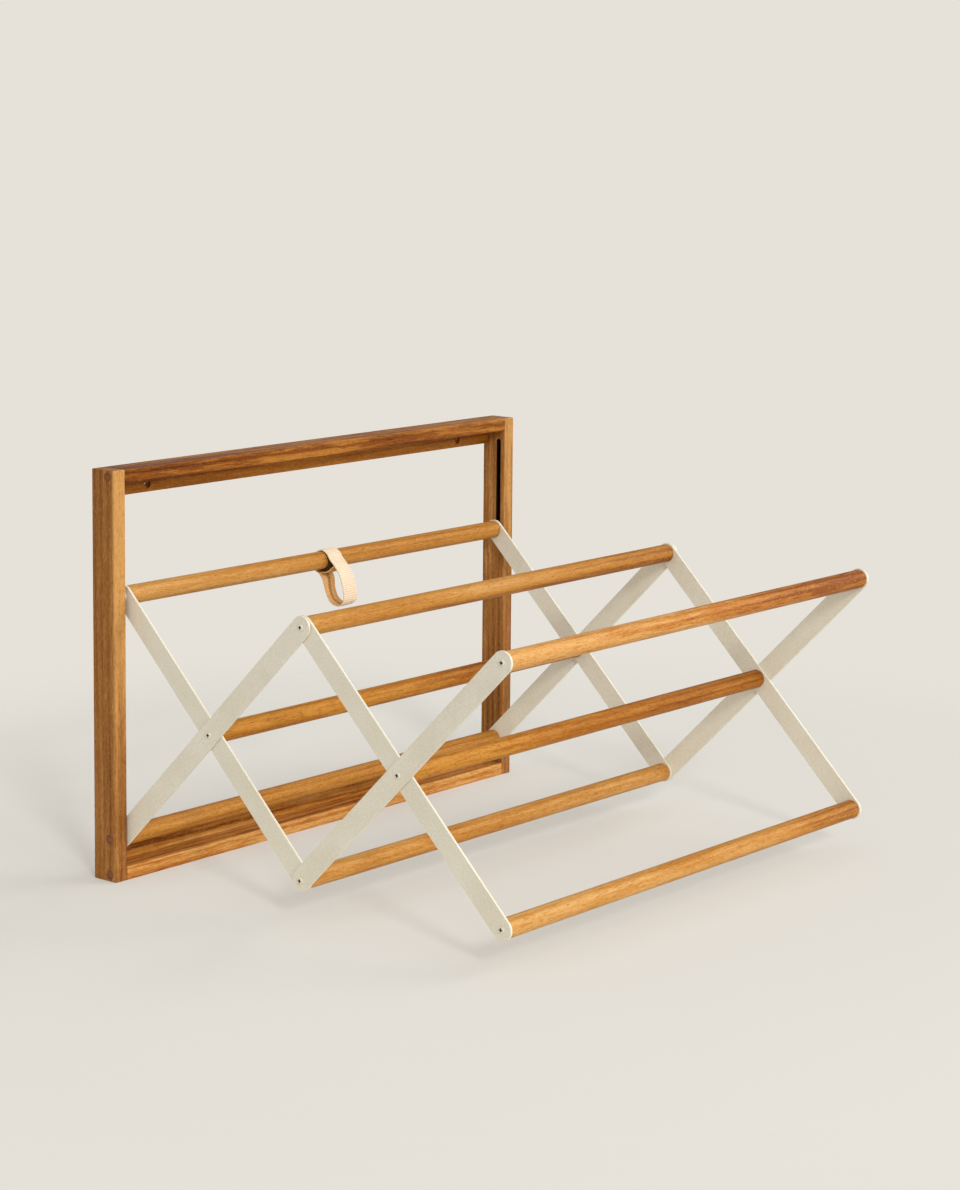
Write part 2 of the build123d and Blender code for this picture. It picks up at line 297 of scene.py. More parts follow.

# Each board and rod: palette, seed, tone (0 is even, more is darker), contrast, the grain's direction, how
# much darker its +X or +Z end is than its middle, and how much lighter its front is painted, as painted
# light.
WOOD_PLAN = {
    "left_stile": (CHESTNUT, 3.0, 0.12, 1.0, "Z", 0.0, 0.75),
    "right_stile": (CHESTNUT, 7.0, 0.10, 1.2, "Z", 0.0, 0.25),
    "top_rail": (RUSSET, 11.0, -0.06, 2.1, "X", -0.10, 0.0),
    "bottom_rail": (ROSY, 14.0, 0.22, 2.2, "X", -0.08, 0.22),
    "top_cleat": (AMBER, 17.0, 0.10, 1.0, "X", 0.0, 0.0),
    "bottom_cleat": (GOLDEN, 21.0, 0.22, 2.4, "X", 0.10, 0.0),
    "rear_bottom_rod": (GOLDEN, 26.0, 0.04, 1.0, "X", 0.0, 0.0),
    "rear_top_rod": (GOLDEN, 31.0, 0.05, 0.8, "X", 0.08, 0.0),
    "rear_crossing_rod": (AMBER, 36.0, -0.02, 1.4, "X", 0.16, 0.0),
    "middle_bottom_rod": (GOLDEN, 43.0, 0.06, 1.2, "X", 0.06, 0.0),
    "middle_top_rod": (GOLDEN, 48.0, 0.11, 1.1, "X", 0.18, 0.0),
    "front_crossing_rod": (AMBER, 55.0, 0.08, 1.4, "X", 0.20, 0.0),
    "front_bottom_rod": (GOLDEN, 60.0, 0.03, 1.1, "X", 0.18, 0.0),
    "front_top_rod": (ROSY, 66.0, 0.0, 1.7, "X", 0.30, 0.0),
}


def make_wood(node, grain):
    """The oiled wood of one board or rod."""
    palette, seed, tone, contrast, direction, drift, front_painted_light = WOOD_PLAN[node]
    low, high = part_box(node)
    middle, half = (low + high) / 2, (high - low) / 2
    material, g, shader = start_material("wood_" + node)
    vector = g.vector_math("SUBTRACT", g.node("ShaderNodeTexCoord").outputs["Object"], tuple(middle))
    parts = g.node("ShaderNodeSeparateXYZ")
    g.feed(parts.inputs[0], vector)
    length = half.z if direction == "Z" else half.x
    if direction == "Z":
        turned = g.node("ShaderNodeCombineXYZ")
        for socket, axis in zip(turned.inputs, "ZYX"):
            g.feed(socket, parts.outputs[axis])
        vector = turned.outputs[0]
    tone = g.math("MULTIPLY_ADD", parts.outputs[direction], drift / length, tone)
    # Painted light: the front face, and the first few millimetres behind its edges, are made lighter; on a
    # stile only in its upper part.
    if front_painted_light:
        front_light_mask = g.step(parts.outputs["Y"], -half.y + FRONT_LIGHT_BAND, -half.y)
        if direction == "Z":
            upper = g.step(parts.outputs["Z"], FRONT_LIGHT_FROM * half.z, half.z)
            front_light_mask = g.math("MULTIPLY", front_light_mask, upper)
        tone = g.math("MULTIPLY_ADD", front_light_mask, -front_painted_light, tone)
    wood = place_group(
        g, grain, Vector=vector, Seed=seed, Light=palette[0], Middle=palette[1], Dark=palette[2],
        Tone=tone, Contrast=contrast,
    )
    color = wood["Color"]
    if direction == "Z":
        # Painted shade in the slider's slot: all that lies deep inside the stile about the slot's line is
        # painted very dark.
        inside = 1.0
        for axis, centre, reach in (
            ("X", 0.0, half.x - SLOT_SHADE_DEPTH),
            ("Y", middle_of("slider_pins").y - middle.y, SLOT_SHADE_REACH),
            ("Z", 0.0, half.z - SLOT_SHADE_END),
        ):
            off = g.math("ABSOLUTE", g.math("SUBTRACT", parts.outputs[axis], centre))
            inside = g.math("MULTIPLY", g.math("LESS_THAN", off, reach), inside)
        color = g.mix(inside, color, SLOT_PAINTED_SHADE)
    g.feed(shader.inputs["Base Color"], color)
    g.feed(shader.inputs["Roughness"], wood["Roughness"])
    shader.inputs["Specular IOR Level"].default_value = WOOD_SPECULAR
    shader.inputs["Specular Tint"].default_value = OIL_TINT
    add_bump(g, shader, wood["Height"], WOOD_RELIEF, strength=0.6)
    return material


def make_plug_wood(name, heights, grain):
    """End grain of a wood plug, with painted shade of the thin gap round it as a dark line at its rim.
    Mirrored about the mid height of the plugs, each plug is one disc, so the distance from its axis gives the
    rim."""
    material, g, shader = start_material(name)
    place = g.node("ShaderNodeSeparateXYZ")
    g.feed(place.inputs[0], g.node("ShaderNodeTexCoord").outputs["Object"])
    mid, half = sum(heights) / len(heights), (max(heights) - min(heights)) / 2
    up = g.math("SUBTRACT", g.math("ABSOLUTE", g.math("SUBTRACT", place.outputs["Z"], mid)), half)
    back = g.math("SUBTRACT", place.outputs["Y"], middle_of("fixed_pivot_plugs").y)
    radius = g.math("SQRT", g.math("ADD", g.math("MULTIPLY", up, up), g.math("MULTIPLY", back, back)))
    turned = g.node("ShaderNodeCombineXYZ")
    g.feed(turned.inputs[0], back)
    g.feed(turned.inputs[1], g.math("MULTIPLY", place.outputs["X"], 0.2))
    g.feed(turned.inputs[2], up)
    wood = place_group(
        g, grain, Vector=turned.outputs[0], Seed=5.0, Light=RUSSET[0], Middle=RUSSET[1], Dark=RUSSET[2],
        Tone=0.14, Contrast=0.5,
    )
    # Painted shade of the gap, as a dark line at each plug's rim.
    rim = g.math("MULTIPLY", g.step(radius, PLUG_RIM_START, PLUG_RIM_END), PLUG_RIM_SHARE)
    g.feed(shader.inputs["Base Color"], g.mix(rim, wood["Color"], PLUG_GAP_SHADE))
    g.feed(shader.inputs["Roughness"], wood["Roughness"])
    add_bump(g, shader, wood["Height"], WOOD_RELIEF, strength=0.5)
    return material


# ---------------------------------------------------------------- powder coat, screws and nylon
COAT_PALE = (0.790, 0.733, 0.590, 1)
COAT_DEEP = (0.735, 0.670, 0.520, 1)
COAT_HOLLOW_SHADE = (0.50, 0.45, 0.34, 1)
COAT_SHADE = (0.50, 0.43, 0.32, 1)
COAT_GLINT = (0.88, 0.83, 0.70, 1)
COAT_SPECK = (0.42, 0.37, 0.28, 1)


def make_coat_group():
    """Matte powder coat: a fine pebbled surface, faint cloudy patches, painted shade in the pebbles' hollows,
    sandy light and dark grains, and a few specks."""
    tree, g, given, out = make_group(
        "powder_coat",
        [("Vector", "Vector", None), ("Pale", "Color", COAT_PALE), ("Deep", "Color", COAT_DEEP)],
        [("Color", "Color"), ("Roughness", "Float"), ("Height", "Float")],
    )
    cloud = g.noise(g.stretched(given["Vector"], 22.0, 22.0), detail=3.0)
    pebble = g.noise(g.stretched(given["Vector"], 1500.0, 1500.0), detail=2.0)
    speck = g.step(g.noise(g.stretched(given["Vector"], 700.0, 700.0), detail=0.0), 0.71, 0.77)
    color = g.mix(g.step(cloud, 0.3, 0.7), given["Pale"], given["Deep"])
    # Painted shade in the hollows of the pebbled bump.
    color = g.mix(g.math("MULTIPLY", g.step(pebble, 0.62, 0.35), 0.14), color, COAT_HOLLOW_SHADE)
    sand = g.noise(g.stretched(given["Vector"], 620.0, 620.0), detail=2.0)
    color = g.mix(g.math("MULTIPLY", g.step(sand, 0.50, 0.36), 0.16), color, COAT_SHADE)
    color = g.mix(g.math("MULTIPLY", g.step(sand, 0.52, 0.66), 0.30), color, COAT_GLINT)
    color = g.mix(g.math("MULTIPLY", speck, 0.12), color, COAT_SPECK)
    g.feed(out["Color"], color)
    g.feed(out["Roughness"], g.math("MULTIPLY_ADD", pebble, 0.16, 0.44))
    g.feed(out["Height"], pebble)
    return tree


def make_arm_coat(coat):
    """The arms' coating."""
    material, g, shader = start_material("arm_coat")
    vector = g.node("ShaderNodeTexCoord").outputs["Object"]
    paint = place_group(g, coat, Vector=vector)
    g.feed(shader.inputs["Base Color"], paint["Color"])
    g.feed(shader.inputs["Roughness"], paint["Roughness"])
    add_bump(g, shader, paint["Height"], 0.05 * MM, strength=0.5)
    return material


SCREW_PLACES = {
    "rear_arm_screws": ("rear_crossing_rod", "middle_top_rod"),
    "front_arm_screws": ("middle_bottom_rod", "front_crossing_rod"),
    "front_top_screws": ("front_top_rod",),
    "front_bottom_screws": ("front_bottom_rod",),
}
RECESS_RADIUS = 2.0 * MM
RECESS_BELOW = 0.03 * MM            # how far below the head's face the painted shade starts
RECESS_PAINTED_SHADE = (0.010, 0.009, 0.008, 1)


def make_coated_screw(node, coat):
    """Screw heads in the arms' coating, each with its driver recess painted very dark as shade: the painted
    shade is what lies near the axis of one of the screws and below its head's face."""
    material, g, shader = start_material("coated_" + node)
    vector = g.node("ShaderNodeTexCoord").outputs["Object"]
    place = g.node("ShaderNodeSeparateXYZ")
    g.feed(place.inputs[0], vector)
    paint = place_group(g, coat, Vector=vector)
    near = None
    for rod in SCREW_PLACES[node]:
        axis = middle_of(rod)
        side = g.node("ShaderNodeCombineXYZ")
        g.feed(side.inputs[0], g.math("SUBTRACT", place.outputs["Y"], axis.y))
        g.feed(side.inputs[1], g.math("SUBTRACT", place.outputs["Z"], axis.z))
        reach = g.node("ShaderNodeVectorMath", operation="LENGTH")
        g.feed(reach.inputs[0], side.outputs[0])
        inside = g.math("LESS_THAN", reach.outputs["Value"], RECESS_RADIUS)
        near = inside if near is None else g.math("MAXIMUM", near, inside)
    outward = g.math("ABSOLUTE", place.outputs["X"])
    below = g.math("LESS_THAN", outward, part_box(node)[1].x - RECESS_BELOW)
    # Painted shade: each driver recess is made very dark, where light does not reach.
    recess_shade = g.math("MULTIPLY", near, below)
    g.feed(shader.inputs["Base Color"], g.mix(recess_shade, paint["Color"], RECESS_PAINTED_SHADE))
    g.feed(shader.inputs["Roughness"], paint["Roughness"])
    add_bump(g, shader, paint["Height"], 0.03 * MM, strength=0.4)
    return material


def make_steel():
    """Bright zinc-plated steel with faint turning marks."""
    material, g, shader = start_material("plated_steel")
    vector = g.node("ShaderNodeTexCoord").outputs["Object"]
    marks = g.noise(g.stretched(vector, 4000.0, 200.0), detail=1.0)
    g.feed(shader.inputs["Base Color"], g.mix(marks, (0.55, 0.54, 0.50, 1), (0.68, 0.66, 0.62, 1)))
    g.feed(shader.inputs["Roughness"], g.math("MULTIPLY_ADD", marks, 0.2, 0.25))
    shader.inputs["Metallic"].default_value = 1.0
    add_bump(g, shader, marks, 0.02 * MM, strength=0.3)
    return material


def make_nylon():
    """Natural nylon of the washers and bushes."""
    material, g, shader = start_material("nylon")
    vector = g.node("ShaderNodeTexCoord").outputs["Object"]
    cloud = g.noise(g.stretched(vector, 300.0, 300.0), detail=2.0)
    g.feed(shader.inputs["Base Color"], g.mix(cloud, (0.72, 0.67, 0.55, 1), (0.80, 0.76, 0.66, 1)))
    g.feed(shader.inputs["Roughness"], g.math("MULTIPLY_ADD", cloud, 0.15, 0.38))
    add_bump(g, shader, cloud, 0.02 * MM, strength=0.3)
    return material


# ---------------------------------------------------------------- webbing strap
ROD_RADIUS = (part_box("rear_top_rod")[1].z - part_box("rear_top_rod")[0].z) / 2
ROD_AXIS = middle_of("rear_top_rod")
STRAP_LOW, STRAP_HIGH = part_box("strap_loop")
STRAP_MIDDLE_X = (STRAP_LOW.x + STRAP_HIGH.x) / 2
WEBBING_HALF_WIDTH = (STRAP_HIGH.x - STRAP_LOW.x) / 2
WEBBING_THICKNESS = 1.7 * MM
RIB_PITCH = 2.2 * MM
RIB_HEIGHT = 0.10 * MM
SELVEDGE_WAVE = 0.05 * MM
WARP_THREADS = 15
SECTION_POINTS = 44                 # round the webbing's section
SPAN_STEPS = 60                     # between two bends, before a curve is cut evenly
LOOP_STEPS, TIE_STEPS, FOLD_STEPS = 720, 120, 160
TIE_INSET = 0.7 * MM                # of the tie's selvedges from the loop's
FOLD_OVERHANG = 0.15 * MM           # of the folded end past the loop's selvedges
BACK_STRAND_SHARE = 0.60            # of the way round the loop: on the back strand, just below its middle
STRAND_LEAN, LEAN_REACH = 5.0 * MM, 0.2
STRAND_CUP, CUP_REACH = 1.1 * MM, 0.16
STITCHES_PER_ROW = 8
STITCH_LENGTH = 1.7 * MM
STITCH_RADIUS = 0.28 * MM
STITCH_MARGIN = 2.2 * MM            # of a row's ends from the selvedge
STITCH_ROWS = (-6, 8)               # steps along the loop from where the tie starts

# Each bend: the direction from the rod's axis (degrees from straight up, towards the front) and the
# webbing's stand-off from the rod, in millimetres. The loop goes over the rod, down the front strand to
# the bottom, and up the back strand.
LOOP_BENDS = [
    (0, 1.1), (45, 1.6), (82, 3.4), (106, 12.0), (121, 23.0), (134, 34.5), (142.5, 41.5), (153, 41.3),
    (163, 34.2), (168.5, 22.5), (173, 11.5), (190, 5.1), (216, 4.4), (250, 2.6), (300, 1.4),
]
TIE_BENDS = [(104, 9.2), (115, 6.6), (133, 5.2), (153, 4.2), (174, 3.7), (190, 4.2)]
FOLD_BENDS = [(35, 0.45), (60, 0.9), (84, 1.45), (104, 2.4), (122, 2.35), (143, 1.9), (163, 1.4), (183, 1.2)]
FOLD_THICKNESS = 2.8 * MM


def bend_points(bends):
    """The bends as an array of (Y, Z) places round the rod's axis."""
    direction, stand_off = np.radians([b[0] for b in bends]), np.array([b[1] for b in bends]) * MM
    radius = stand_off + ROD_RADIUS
    return np.stack([ROD_AXIS.y - radius * np.sin(direction), ROD_AXIS.z + radius * np.cos(direction)], 1)


def smooth_line(points, closed, count):
    """A Catmull-Rom curve through the points, cut into count equal steps along its length. Each span is a
    cubic whose slope at a point is half the step between that point's neighbours."""
    if closed:
        p = np.concatenate([points[-1:], points, points[:2]])
    else:
        p = np.concatenate([2 * points[:1] - points[1:2], points, 2 * points[-1:] - points[-2:-1]])
    t = np.linspace(0, 1, SPAN_STEPS, endpoint=False)[None, :, None]
    a, b, c, d = p[:-3, None], p[1:-2, None], p[2:-1, None], p[3:, None]
    curve = 0.5 * (2 * b + (c - a) * t + (2 * a - 5 * b + 4 * c - d) * t**2 + (3 * b - a - 3 * c + d) * t**3)
    curve = curve.reshape(-1, 2)
    curve = np.concatenate([curve, points[:1] if closed else points[-1:]])
    along = np.concatenate([[0], np.cumsum(np.linalg.norm(np.diff(curve, axis=0), axis=1))])
    wanted = np.linspace(0, along[-1], count, endpoint=not closed)
    line = np.stack([np.interp(wanted, along, curve[:, k]) for k in (0, 1)], 1)
    return line, wanted


def line_normals(line, closed):
    """Unit normals of a line in the YZ plane, on the side away from the line's middle."""
    if closed:
        step = np.roll(line, -1, 0) - np.roll(line, 1, 0)
    else:
        step = np.gradient(line, axis=0)
    step /= np.linalg.norm(step, axis=1)[:, None]
    normal = np.stack([-step[:, 1], step[:, 0]], 1)
    outward = np.sum(normal * (line - line.mean(0)))
    return normal if outward > 0 else -normal


def grid_mesh(name, points, closed_along, closed_round, uv):
    """A mesh from a grid of points (along, round, 3), its quads joined round either way, with a UV map
    from a matching grid of (along, round, 2)."""
    rows, columns = points.shape[:2]
    i = np.arange(rows if closed_along else rows - 1)
    j = np.arange(columns if closed_round else columns - 1)
    i, j = (a.ravel() for a in np.meshgrid(i, j, indexing="ij"))
    next_i, next_j = (i + 1) % rows, (j + 1) % columns
    row, next_row = i * columns, next_i * columns
    quads = np.stack([row + j, row + next_j, next_row + next_j, next_row + j], 1)
    faces = quads.tolist()
    if not closed_along:
        faces += [list(range(columns))[::-1], [(rows - 1) * columns + k for k in range(columns)]]
    mesh = bpy.data.meshes.new(name)
    mesh.from_pydata(points.reshape(-1, 3).tolist(), [], faces)
    layer = mesh.uv_layers.new(name="UVMap")
    corners = np.zeros(len(mesh.loops), np.int32)
    mesh.loops.foreach_get("vertex_index", corners)
    layer.data.foreach_set("uv", uv.reshape(-1, 2)[corners].astype(np.float32).ravel())
    mesh.polygons.foreach_set("use_smooth", np.ones(len(mesh.polygons), bool))
    mesh.update()
    thing = bpy.data.objects.new(name, mesh)
    bpy.context.collection.objects.link(thing)
    return thing


def make_band(name, bends, closed, half_width, thickness, steps, lean=None, cup=None):
    """A strip of ribbed webbing, and its number of ribs. Its section is a flat oval: across it x runs as
    cos(angle) to the power 0.3, and its thickness as sin(angle) to the power 0.45, so the selvedges are
    round. The section is carried along the line of the bends on the line's normal. Ribs across the width
    rise and fall as the cosine of the distance along. thickness, lean and cup are functions of the share
    of the way along: lean moves the +X edge back, and cup moves the middle out."""
    line, along = smooth_line(bend_points(bends), closed, steps)
    normal = line_normals(line, closed)
    angle = np.linspace(0, 2 * np.pi, SECTION_POINTS, endpoint=False)
    c, s = np.cos(angle), np.sin(angle)
    across = np.sign(c) * np.abs(c) ** 0.3
    through = np.sign(s) * np.abs(s) ** 0.45 / 2
    face = np.abs(s) ** 0.3
    total = along[-1] + (along[1] if closed else 0)
    ribs = max(1, round(total / RIB_PITCH))
    rib = np.cos(2 * np.pi * ribs * along / total)[:, None] * RIB_HEIGHT * face
    selvedge = SELVEDGE_WAVE * np.cos(2 * np.pi * ribs * along / total)[:, None] * (1 - face)
    out = through[None] * thickness(along / total)[:, None] + np.sign(s) * rib
    if cup is not None:
        out = out + cup(along / total)[:, None] * (1 - across**2)
    points = np.empty((len(line), len(angle), 3))
    points[..., 0] = STRAP_MIDDLE_X + across * (half_width - SELVEDGE_WAVE) + np.sign(across) * selvedge
    points[..., 1] = line[:, None, 0] + normal[:, None, 0] * out
    points[..., 2] = line[:, None, 1] + normal[:, None, 1] * out
    if lean is not None:
        points[..., 1] += lean(along / total)[:, None] * (across + 1) / 2
    uv = np.empty(points.shape[:2] + (2,))
    uv[..., 0] = along[:, None] / total
    uv[..., 1] = 0.25 + across * 0.245 + np.where(s < 0, 0.5, 0.0)
    return grid_mesh(name, points, closed, True, uv), ribs


def bell(share, middle, reach):
    """1 at the middle share of the way round, falling smoothly to 0 at the reach to either side."""
    x = np.clip(np.abs(share - middle) / reach, 0, 1)
    return 0.5 + 0.5 * np.cos(np.pi * x)


def make_webbing(name, ribs, all_tan=False):
    """Natural cotton webbing: cream outside, and tan inside as painted light, the warm glow of light through
    the webbing and bounced off the wood into the shaded inner face, with painted shade in a darker fold line
    along its middle. Each rib's dip is darker, painted shade. U runs along the strap and V across it, the
    outside below a half."""
    material, g, shader = start_material(name)
    uv = g.node("ShaderNodeSeparateXYZ")
    g.feed(uv.inputs[0], g.node("ShaderNodeTexCoord").outputs["UV"])
    across = g.math("SUBTRACT", g.math("FRACT", g.math("MULTIPLY", uv.outputs["Y"], 2.0)), 0.5)
    vector = g.node("ShaderNodeTexCoord").outputs["Object"]
    warp = g.math("SINE", g.math("MULTIPLY", across, 2 * math.pi * WARP_THREADS))
    rib = g.math("COSINE", g.math("MULTIPLY", uv.outputs["X"], 2 * math.pi * ribs))
    valley_shade = g.step(rib, 0.1, -0.9)
    thread = g.noise(g.stretched(vector, 500.0, 1400.0), detail=2.0)
    cloud = g.noise(g.stretched(vector, 90.0, 60.0), detail=2.0)
    tint = g.math("MULTIPLY_ADD", thread, 0.6, g.math("MULTIPLY", cloud, 0.4))
    cream = g.mix(g.step(tint, 0.3, 0.7), (0.88, 0.745, 0.575, 1), (0.80, 0.62, 0.42, 1))
    # Painted shade: each rib's dip is darker.
    cream = g.mix(g.math("MULTIPLY", valley_shade, 0.5), cream, (0.56, 0.38, 0.22, 1))
    # Painted light: the inner face's tan stands for the warm glow of light through the webbing and bounced
    # off the wood.
    tan = g.mix(g.step(tint, 0.3, 0.7), (0.82, 0.50, 0.20, 1), (0.62, 0.33, 0.10, 1))
    tan = g.mix(g.math("MULTIPLY", valley_shade, 0.3), tan, (0.36, 0.17, 0.05, 1))
    if all_tan:
        color = tan
    else:
        # Painted shade: a darker crease line along the middle of the inner face.
        fold = g.step(g.math("ABSOLUTE", across), 0.2, 0.03)
        tan = g.mix(g.math("MULTIPLY", fold, 0.75), tan, (0.22, 0.065, 0.012, 1))
        color = g.mix(g.step(uv.outputs["Y"], 0.499, 0.501), cream, tan)
    g.feed(shader.inputs["Base Color"], color)
    g.feed(shader.inputs["Roughness"], g.math("MULTIPLY_ADD", thread, 0.15, 0.78))
    shader.inputs["Sheen Weight"].default_value = 0.1
    shader.inputs["Specular IOR Level"].default_value = 0.2
    height = g.math("MULTIPLY_ADD", warp, 0.25, thread)
    add_bump(g, shader, height, 0.12 * MM, strength=0.7)
    return material


def make_stitches(name, rows, count, length, radius):
    """Rows of stitches on the strap. Each stitch is a bent capsule: at t from 0 to pi its middle lies at
    -cos(t) along and sin(t) up, and its round section's radius is sin(t) to the power 0.4. A small flat
    cap closes each end."""
    t = np.linspace(0, np.pi, 9)
    turn = np.linspace(0, 2 * np.pi, 8, endpoint=False)
    section = radius * np.sin(t) ** 0.4
    section[0] = section[-1] = radius * 0.05
    along = -np.cos(t) * length / 2
    rise = np.sin(t) * radius * 0.5
    shape = np.empty((len(t), len(turn), 3))
    shape[..., 0] = along[:, None] + 0 * turn
    shape[..., 1] = section[:, None] * np.cos(turn)
    shape[..., 2] = rise[:, None] + section[:, None] * np.sin(turn)
    n, m = len(t), len(turn)
    i, j = (a.ravel() for a in np.meshgrid(np.arange(n - 1), np.arange(m), indexing="ij"))
    quads = np.stack([i * m + j, i * m + (j + 1) % m, (i + 1) * m + (j + 1) % m, (i + 1) * m + j], 1)
    points, faces = [], []
    for centre, normal, down in rows:
        for x in np.linspace(-1, 1, count) * (WEBBING_HALF_WIDTH - STITCH_MARGIN):
            base = len(points) * n * m
            spot = (
                np.array([STRAP_MIDDLE_X + x, centre[0], centre[1]])
                + shape[..., :1] * np.array([1.0, 0.0, 0.0])
                + shape[..., 1:2] * np.array([0.0, down[0], down[1]])
                + shape[..., 2:3] * np.array([0.0, normal[0], normal[1]])
            )
            points.append(spot.reshape(-1, 3))
            faces += (quads + base).tolist()
            faces += [[base + k for k in range(m)], [base + (n - 1) * m + k for k in range(m)][::-1]]
    mesh = bpy.data.meshes.new(name)
    mesh.from_pydata(np.concatenate(points).tolist(), [], faces)
    mesh.polygons.foreach_set("use_smooth", np.ones(len(mesh.polygons), bool))
    mesh.update()
    thing = bpy.data.objects.new(name, mesh)
    bpy.context.collection.objects.link(thing)
    return thing


def make_thread():
    """Sewing thread, a little lighter than the webbing, with its twist."""
    material, g, shader = start_material("thread")
    vector = g.node("ShaderNodeTexCoord").outputs["Object"]
    twist = g.noise(g.stretched(vector, 5200.0, 900.0), detail=1.0)
    g.feed(shader.inputs["Base Color"], g.mix(twist, (0.80, 0.62, 0.40, 1), (0.97, 0.88, 0.72, 1)))
    g.feed(shader.inputs["Roughness"], g.math("MULTIPLY_ADD", twist, 0.2, 0.6))
    add_bump(g, shader, twist, 0.05 * MM, strength=0.5)
    return material


def make_painted_shade_webbing(name, ribs):
    """Dark brown webbing of the end folded in against the rod, painted very dark as shade for the deep gap
    between the rod and the tie; its ribs' dips are darker still, painted shade.
    """
    material, g, shader = start_material(name)
    uv = g.node("ShaderNodeSeparateXYZ")
    g.feed(uv.inputs[0], g.node("ShaderNodeTexCoord").outputs["UV"])
    thread = g.noise(g.stretched(g.node("ShaderNodeTexCoord").outputs["Object"], 500.0, 1400.0), detail=2.0)
    rib = g.math("COSINE", g.math("MULTIPLY", uv.outputs["X"], 2 * math.pi * ribs))
    # Painted shade: very dark brown for the deep gap, darker still in the ribs' dips.
    color = g.mix(thread, (0.045, 0.018, 0.006, 1), (0.11, 0.045, 0.014, 1))
    g.feed(shader.inputs["Base Color"], g.mix(g.step(rib, 0.0, -1.0), color, (0.02, 0.008, 0.003, 1)))
    g.feed(shader.inputs["Roughness"], g.math("MULTIPLY_ADD", thread, 0.1, 0.85))
    shader.inputs["Specular IOR Level"].default_value = 0.1
    add_bump(g, shader, thread, 0.12 * MM, strength=0.7)
    return material


def even_thickness(share):
    """The webbing's own thickness all the way along."""
    return np.full_like(share, WEBBING_THICKNESS)


def fold_thickness(share):
    """The folded end: thin where it starts, thickest past its middle, and thinner at its tip."""
    return FOLD_THICKNESS * np.interp(share, [0, 0.3, 0.55, 0.8, 1], [0.12, 0.7, 1, 0.9, 0.3])


def make_strap():
    """The loop, the tie that pinches it under the rod, the end folded in between the tie and the rod (a dark
    sheet of painted shade in that gap), and the tie's stitches."""
    loop, loop_ribs = make_band(
        "strap_webbing", LOOP_BENDS, True, WEBBING_HALF_WIDTH, even_thickness, LOOP_STEPS,
        lean=lambda share: STRAND_LEAN * bell(share, BACK_STRAND_SHARE, LEAN_REACH),
        cup=lambda share: STRAND_CUP * bell(share, BACK_STRAND_SHARE, CUP_REACH),
    )
    tie, tie_ribs = make_band(
        "strap_tie", TIE_BENDS, False, WEBBING_HALF_WIDTH - TIE_INSET, even_thickness, TIE_STEPS,
    )
    # A dark sheet of painted shade filling the gap between the rod and the tie.
    fold, fold_ribs = make_band(
        "strap_fold_painted_shade", FOLD_BENDS, False, WEBBING_HALF_WIDTH + FOLD_OVERHANG, fold_thickness, FOLD_STEPS,
    )
    loop.data.materials.append(make_webbing("webbing_loop", loop_ribs))
    fold.data.materials.append(make_painted_shade_webbing("webbing_fold_painted_shade", fold_ribs))
    # The tie is tan on both faces: painted warm glow of light in its shade.
    tie.data.materials.append(make_webbing("webbing_tie", tie_ribs, all_tan=True))
    for piece in (loop, tie, fold):
        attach(piece, "rear_inner_arms")
    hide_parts("strap_loop")
    line, _ = smooth_line(bend_points(LOOP_BENDS), True, LOOP_STEPS)
    normal = line_normals(line, True)
    start = bend_points(TIE_BENDS)[0]
    spot = int(np.argmin(np.linalg.norm(line - start, axis=1)))
    rows = []
    for k in (spot + steps for steps in STITCH_ROWS):
        outward = normal[k] * np.sign(np.dot(normal[k], line[k] - [ROD_AXIS.y, ROD_AXIS.z]))
        down = np.array([outward[1], -outward[0]])
        rows.append((line[k] + outward * (WEBBING_THICKNESS / 2 + RIB_HEIGHT * 0.4), outward, down))
    stitches = make_stitches("strap_stitches", rows, STITCHES_PER_ROW, STITCH_LENGTH, STITCH_RADIUS)
    stitches.data.materials.append(make_thread())
    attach(stitches, "rear_inner_arms")


# ---------------------------------------------------------------- stage
BACKDROP = (0.791, 0.759, 0.694, 1)
FLOOR_VEIL = 0.28                       # how much of the backdrop the camera sees in the floor itself
FLOOR_TINT = (0.775, 0.75, 0.69, 1)
FLOOR_SPECK = (0.72, 0.69, 0.63, 1)
FLOOR_DROP = 0.1 * MM                   # below the rack's lowest point
FLOOR_HALF_SIZE = 6.0
FADE_START, FADE_END = 0.55, 1.15       # from the rack's middle
LIGHT_TINT = (1.0, 1.0, 1.0)
WORLD_STRENGTH = 0.50


